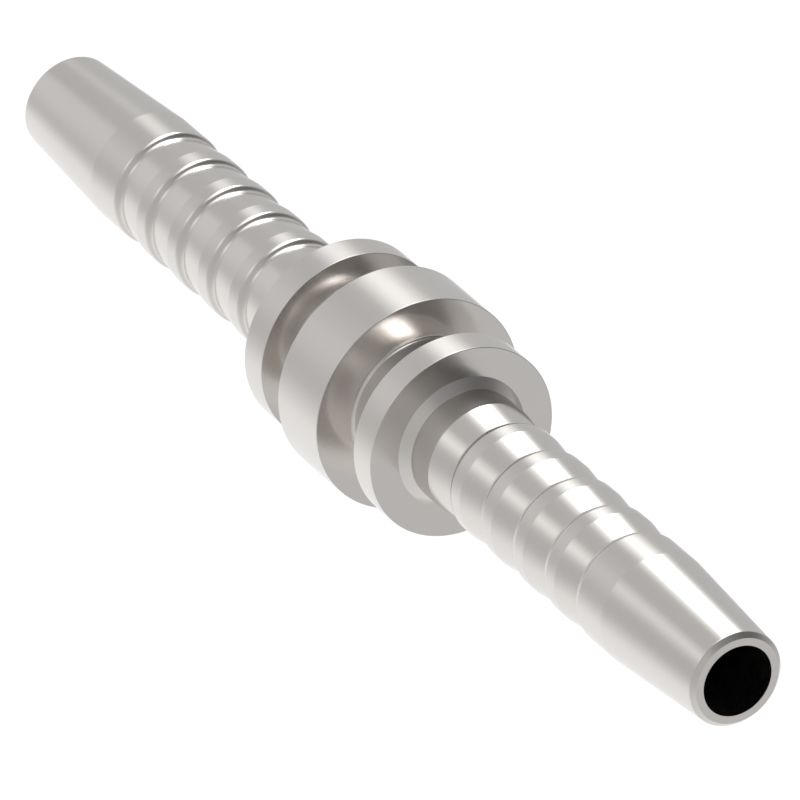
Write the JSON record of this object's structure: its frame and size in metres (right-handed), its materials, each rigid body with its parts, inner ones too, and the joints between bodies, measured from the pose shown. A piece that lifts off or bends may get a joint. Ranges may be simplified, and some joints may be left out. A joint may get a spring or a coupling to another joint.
{
  "type": "double ended hose nipple",
  "caption": "Turned steel hose joiner with a barbed tail at each end, two flanges and a collar between them, and a bore right through.",
  "frame": {"origin": "centre of the lower end face, on the axis", "axes": "+Z along the bore, from the lower end to the upper end; +X and +Y are any two directions across it"},
  "size_m": [0.0129, 0.0128, 0.0742],
  "materials": {
    "steel": "fine turned stainless steel, satin"
  },
  "bodies": {
    "root": {"hose_nipple": "steel"}
  },
  "joints": []
}
